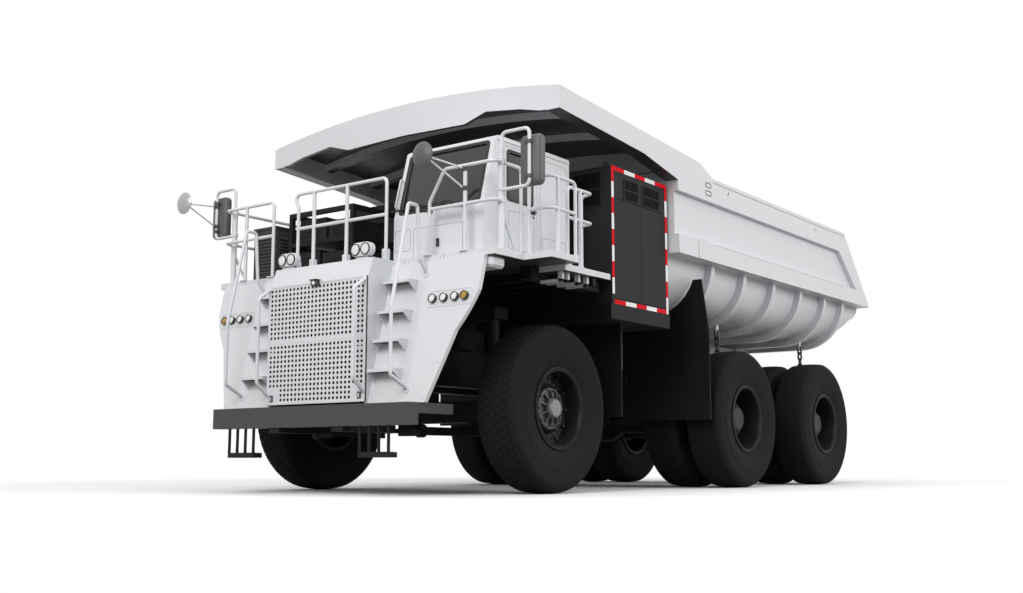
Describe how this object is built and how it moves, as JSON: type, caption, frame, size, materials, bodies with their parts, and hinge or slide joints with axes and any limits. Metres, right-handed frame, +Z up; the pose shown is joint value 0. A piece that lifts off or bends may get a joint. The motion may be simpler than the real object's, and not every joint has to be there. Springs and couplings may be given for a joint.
{
  "type": "mining dump truck",
  "caption": "Electric mining dump truck with twin rear wheels, a tipping round-bellied bed with a canopy over the cab, a battery cabinet and a grated front.",
  "frame": {"origin": "on the ground under the middle of the truck's box", "axes": "+X to the truck's left, -Y to its front, +Z up"},
  "size_m": [5.68, 12.055, 5.12],
  "materials": {
    "white_paint": "satin light grey-white paint",
    "rail_paint": "satin light grey-white paint on tube",
    "dark_paint": "satin dark grey paint",
    "black_paint": "satin near-black paint",
    "tyre": "matte black tyre rubber",
    "rim_black": "satin black wheel paint",
    "steel": "ground steel",
    "chain_steel": "dark forged steel",
    "glass": "dark tinted glass",
    "lamp": "clear lamp lens",
    "amber_lamp": "amber lamp lens",
    "black_plastic": "matte black plastic",
    "flap_rubber": "matte black rubber sheet",
    "seat_fabric": "dark woven fabric",
    "battery": "plain battery casing",
    "cabinet_black": "satin black cabinet paint"
  },
  "bodies": {
    "chassis": {"frame": "black_paint", "bumper": "dark_paint", "bumper_steps": "black_paint", "grille": "white_paint", "radiator_housing": "white_paint", "cooling_pack": "black_paint", "drive_motor": "black_paint", "fascia": "white_paint", "headlamps": "lamp", "turn_lamps": "amber_lamp", "work_lamps": "lamp", "ladder_steps": "white_paint", "ladder_rails": "rail_paint", "deck": "white_paint", "deck_rails": "rail_paint", "mirror_arms": "rail_paint", "mirrors": "black_plastic", "cab_shell": "white_paint", "cab_glass": "glass", "cab_seat": "seat_fabric", "cab_dash": "black_plastic", "louvre_box": "cabinet_black", "rack_frame": "black_paint", "battery_cabinet": "cabinet_black", "battery_tray": "black_paint", "battery_block": "battery", "front_axle": "black_paint", "front_struts": "black_paint", "rear_axles": "black_paint", "guards": "flap_rubber"},
    "knuckle_left": {"knuckle_left": "black_paint"},
    "knuckle_right": {"knuckle_right": "black_paint"},
    "tie_rod": {"tie_rod": "black_paint"},
    "bed": {"bed_shell": "white_paint", "bed_canopy": "white_paint", "bed_sills": "white_paint"},
    "hoist_barrels": {"hoist_barrels": "black_paint"},
    "hoist_stages": {"hoist_stages": "steel"},
    "hoist_rods": {"hoist_rods": "steel"},
    "ejectors_mid": {"ejectors_mid": "chain_steel"},
    "ejectors_rear": {"ejectors_rear": "chain_steel"},
    "cab_door": {"cab_door": "white_paint", "cab_door_glass": "glass"},
    "front_wheel_left": {"front_tyre_left": "tyre", "front_rim_left": "rim_black"},
    "mid_wheels_left": {"mid_tyres_left": "tyre", "mid_rims_left": "rim_black"},
    "rear_wheels_left": {"rear_tyres_left": "tyre", "rear_rims_left": "rim_black"},
    "cabinet_door_front_left": {"cabinet_door_front_left": "cabinet_black"},
    "cabinet_door_back_left": {"cabinet_door_back_left": "cabinet_black"},
    "front_wheel_right": {"front_tyre_right": "tyre", "front_rim_right": "rim_black"},
    "mid_wheels_right": {"mid_tyres_right": "tyre", "mid_rims_right": "rim_black"},
    "rear_wheels_right": {"rear_tyres_right": "tyre", "rear_rims_right": "rim_black"},
    "cabinet_door_front_right": {"cabinet_door_front_right": "cabinet_black"},
    "cabinet_door_back_right": {"cabinet_door_back_right": "cabinet_black"}
  },
  "joints": [
    {"name": "steer_left", "type": "hinge", "parent": "chassis", "child": "knuckle_left", "pos_m": [1.4, -3.8205, 1.025], "axis": [0, 0, 1], "range_deg": [-35, 35]},
    {"name": "steer_right", "type": "hinge", "parent": "chassis", "child": "knuckle_right", "pos_m": [-1.4, -3.8205, 1.025], "axis": [0, 0, 1], "range_deg": [-35, 35]},
    {"name": "tie_rod_turn", "type": "hinge", "parent": "knuckle_left", "child": "tie_rod", "pos_m": [1.4, -3.4005, 0.805], "axis": [0, 0, 1], "range_deg": [-35, 35]},
    {"name": "front_wheel_left_spin", "type": "hinge", "parent": "knuckle_left", "child": "front_wheel_left", "pos_m": [1.918, -3.8205, 1.025], "axis": [1, 0, 0], "continuous": true},
    {"name": "mid_wheels_left_spin", "type": "hinge", "parent": "chassis", "child": "mid_wheels_left", "pos_m": [1.8775, 0.6985, 1.025], "axis": [1, 0, 0], "continuous": true},
    {"name": "rear_wheels_left_spin", "type": "hinge", "parent": "chassis", "child": "rear_wheels_left", "pos_m": [1.8775, 3.7345, 1.025], "axis": [1, 0, 0], "continuous": true},
    {"name": "front_wheel_right_spin", "type": "hinge", "parent": "knuckle_right", "child": "front_wheel_right", "pos_m": [-1.918, -3.8205, 1.025], "axis": [1, 0, 0], "continuous": true},
    {"name": "mid_wheels_right_spin", "type": "hinge", "parent": "chassis", "child": "mid_wheels_right", "pos_m": [-1.8775, 0.6985, 1.025], "axis": [1, 0, 0], "continuous": true},
    {"name": "rear_wheels_right_spin", "type": "hinge", "parent": "chassis", "child": "rear_wheels_right", "pos_m": [-1.8775, 3.7345, 1.025], "axis": [1, 0, 0], "continuous": true},
    {"name": "bed_tilt", "type": "hinge", "parent": "chassis", "child": "bed", "pos_m": [0, 4.4795, 1.95], "axis": [-1, 0, 0], "range_deg": [0, 45]},
    {"name": "hoist_swing", "type": "hinge", "parent": "chassis", "child": "hoist_barrels", "pos_m": [0, 2.2165, 0.85], "axis": [-1, 0, 0], "range_deg": [0, 17.5]},
    {"name": "hoist_stage_slide", "type": "slide", "parent": "hoist_barrels", "child": "hoist_stages", "axis": [0, 0, 1], "range_m": [0, 0.82]},
    {"name": "hoist_rod_slide", "type": "slide", "parent": "hoist_stages", "child": "hoist_rods", "axis": [0, 0, 1], "range_m": [0, 0.82]},
    {"name": "ejector_mid_swing", "type": "hinge", "parent": "bed", "child": "ejectors_mid", "pos_m": [0, 0.9735, 2.4], "axis": [-1, 0, 0], "range_deg": [-45, 0]},
    {"name": "ejector_rear_swing", "type": "hinge", "parent": "bed", "child": "ejectors_rear", "pos_m": [0, 4.1955, 2.4], "axis": [-1, 0, 0], "range_deg": [-45, 0]},
    {"name": "cab_door_swing", "type": "hinge", "parent": "chassis", "child": "cab_door", "pos_m": [2.022, -4.7365, 3.45], "axis": [0, 0, -1], "range_deg": [0, 85]},
    {"name": "cabinet_door_front_left_swing", "type": "hinge", "parent": "chassis", "child": "cabinet_door_front_left", "pos_m": [2.35, -2.8075, 3.13], "axis": [0, 0, -1], "range_deg": [0, 100]},
    {"name": "cabinet_door_back_left_swing", "type": "hinge", "parent": "chassis", "child": "cabinet_door_back_left", "pos_m": [2.35, -1.5065, 3.13], "axis": [0, 0, 1], "range_deg": [0, 100]},
    {"name": "cabinet_door_front_right_swing", "type": "hinge", "parent": "chassis", "child": "cabinet_door_front_right", "pos_m": [-2.35, -2.8075, 3.13], "axis": [0, 0, 1], "range_deg": [0, 100]},
    {"name": "cabinet_door_back_right_swing", "type": "hinge", "parent": "chassis", "child": "cabinet_door_back_right", "pos_m": [-2.35, -1.5065, 3.13], "axis": [0, 0, -1], "range_deg": [0, 100]}
  ],
  "couplings": [
    {"joint": "steer_right", "follows": "steer_left", "ratio": 1},
    {"joint": "tie_rod_turn", "follows": "steer_left", "ratio": -1},
    {"joint": "hoist_swing", "follows": "bed_tilt", "ratio": 0.37935},
    {"joint": "hoist_stage_slide", "follows": "bed_tilt", "m_per_rad": 1.0415},
    {"joint": "hoist_rod_slide", "follows": "bed_tilt", "m_per_rad": 1.0415},
    {"joint": "ejector_mid_swing", "follows": "bed_tilt", "ratio": -1},
    {"joint": "ejector_rear_swing", "follows": "bed_tilt", "ratio": -1}
  ]
}
